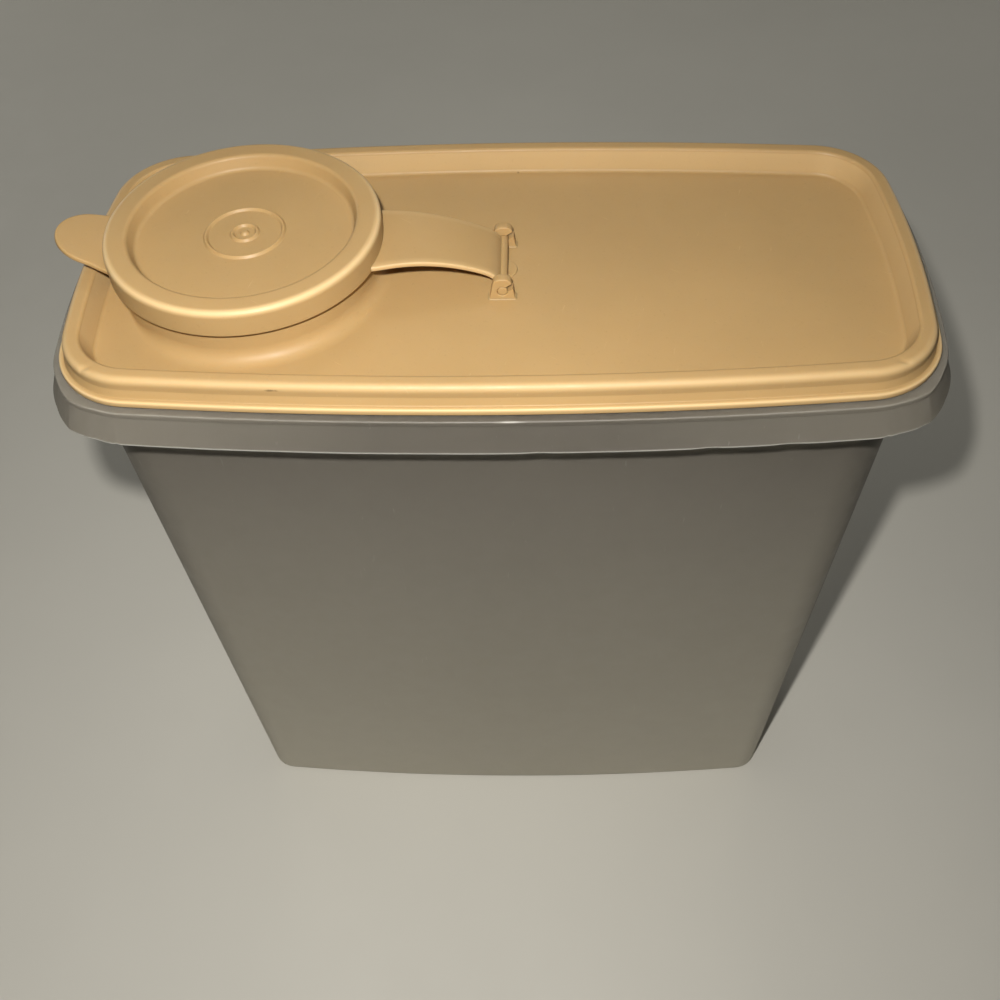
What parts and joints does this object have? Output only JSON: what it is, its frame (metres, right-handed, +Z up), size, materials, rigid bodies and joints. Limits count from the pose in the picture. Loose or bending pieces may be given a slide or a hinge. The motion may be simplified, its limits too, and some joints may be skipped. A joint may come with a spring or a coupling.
{
  "type": "food storage container",
  "caption": "Tall tapered dry-food keeper: translucent container with a skirted mouth, press-on lid with a sunk panel and round pour spout, closed by a hinged flip seal.",
  "frame": {"origin": "centre of the container's base, on the surface that it stands on", "axes": "+X along the keeper's length, with the pour spout at -X, +Y across its width, +Z up"},
  "size_m": [0.2514, 0.1244, 0.2592],
  "materials": {
    "container_plastic": "satin, milky translucent",
    "lid_plastic": "satin"
  },
  "bodies": {
    "container": {"container": "container_plastic"},
    "lid": {"lid": "lid_plastic"},
    "flip_seal": {"flip_seal": "lid_plastic"}
  },
  "joints": [
    {"name": "lid_lift", "type": "slide", "parent": "container", "child": "lid", "axis": [0, 0, 1], "range_m": [0, 0.04]},
    {"name": "seal_hinge", "type": "hinge", "parent": "lid", "child": "flip_seal", "pos_m": [0.0018, 0, 0.24375], "axis": [0, 1, 0], "range_deg": [0, 155]}
  ]
}
